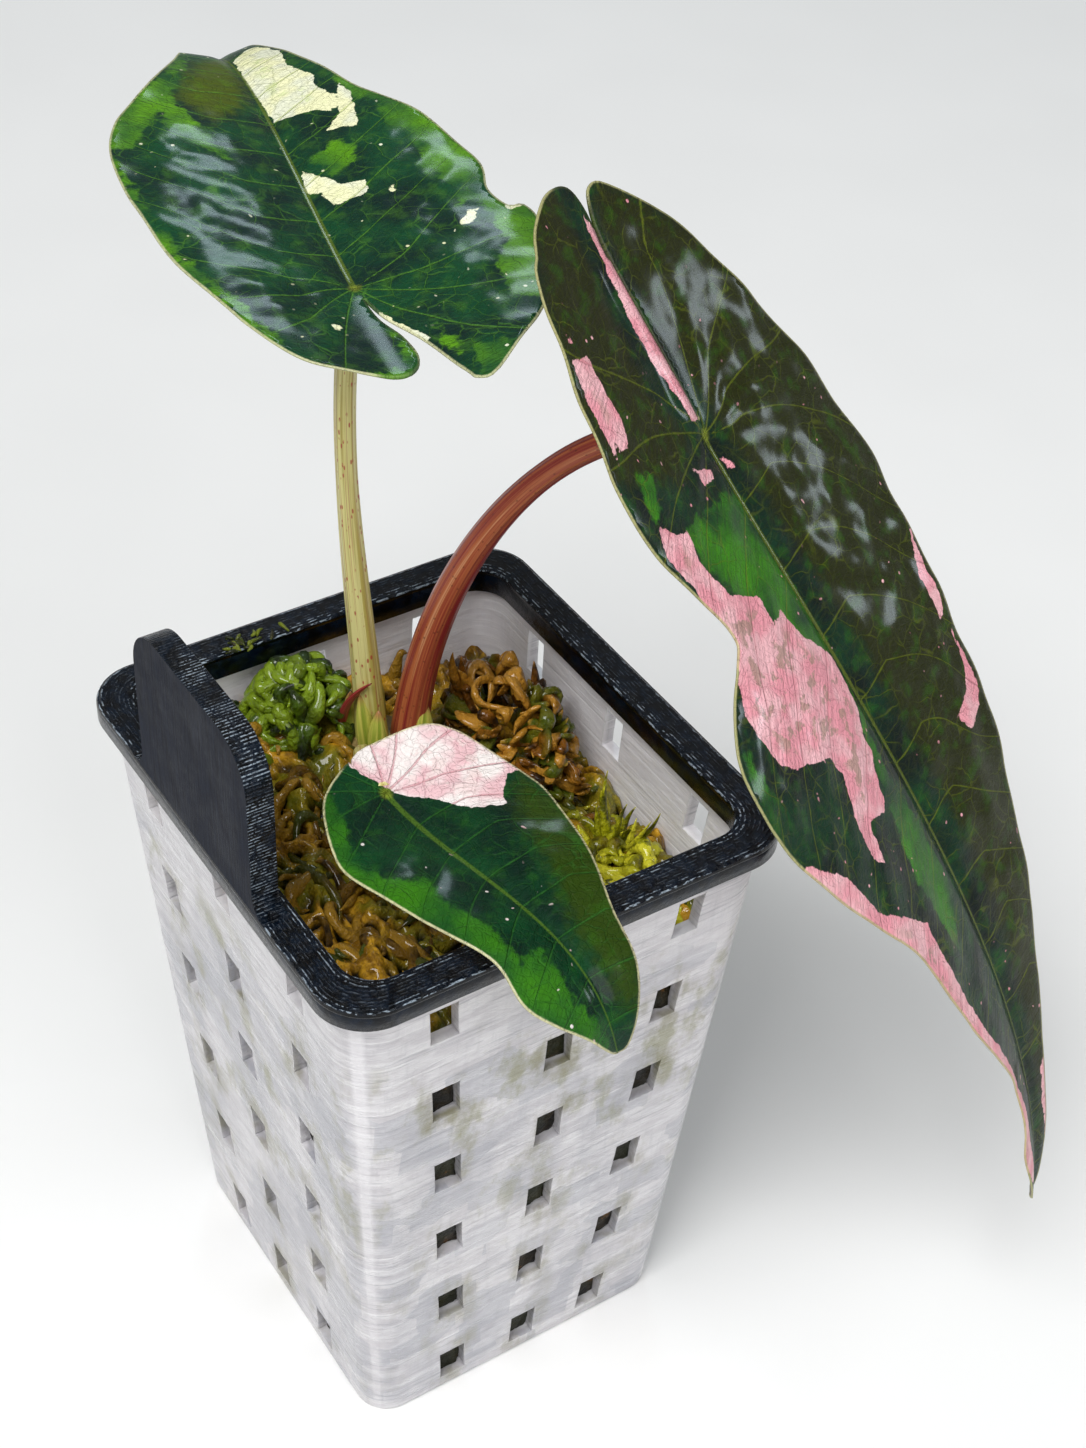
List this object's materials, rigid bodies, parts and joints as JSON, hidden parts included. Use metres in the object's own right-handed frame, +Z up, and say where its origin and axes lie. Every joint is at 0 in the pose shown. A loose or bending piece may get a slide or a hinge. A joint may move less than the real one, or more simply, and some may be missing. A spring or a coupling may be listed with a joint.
{
  "type": "potted aroid plant",
  "caption": "Variegated aroid with arrow-shaped leaves on slim stalks, growing in wet moss in a tapered net pot with a collar and a label tag.",
  "frame": {"origin": "centre of the pot's flat underside", "axes": "+Z up, the label tag on the -Y side of the collar, the upright leaf towards -X and the hanging leaf towards +X and +Y"},
  "size_m": [0.1971, 0.1274, 0.2125],
  "materials": {
    "clear_print": "translucent printed plastic with fine layer lines",
    "black_print": "black printed plastic, satin with bright print lines",
    "wet_moss": "wet amber moss strands",
    "green_moss": "wet yellow-green moss strands",
    "brown_moss": "wet brown moss strands",
    "root": "pale fleshy stem and roots",
    "pale_stem": "pale yellow-green ribbed stalk with red flecks",
    "red_stem": "reddish-brown striped stalk",
    "red_sheath": "dry red sheath",
    "leaf": "glossy dark green leaf with cream and pink patches"
  },
  "bodies": {
    "root": {"net_pot": "clear_print", "collar_with_tag": "black_print", "moss_bed": "wet_moss", "moss_mound_green": "green_moss", "moss_mound_brown": "brown_moss", "moss_clump_front": "wet_moss", "moss_sprigs_right": "green_moss", "stem_with_roots": "root", "new_shoot": "pale_stem", "dry_sheath": "red_sheath", "stalk_upright": "pale_stem", "stalk_hanging": "red_stem", "stalk_low": "pale_stem", "leaf_blade_upright": "leaf", "leaf_blade_hanging": "leaf", "leaf_blade_low": "leaf"}
  },
  "joints": []
}
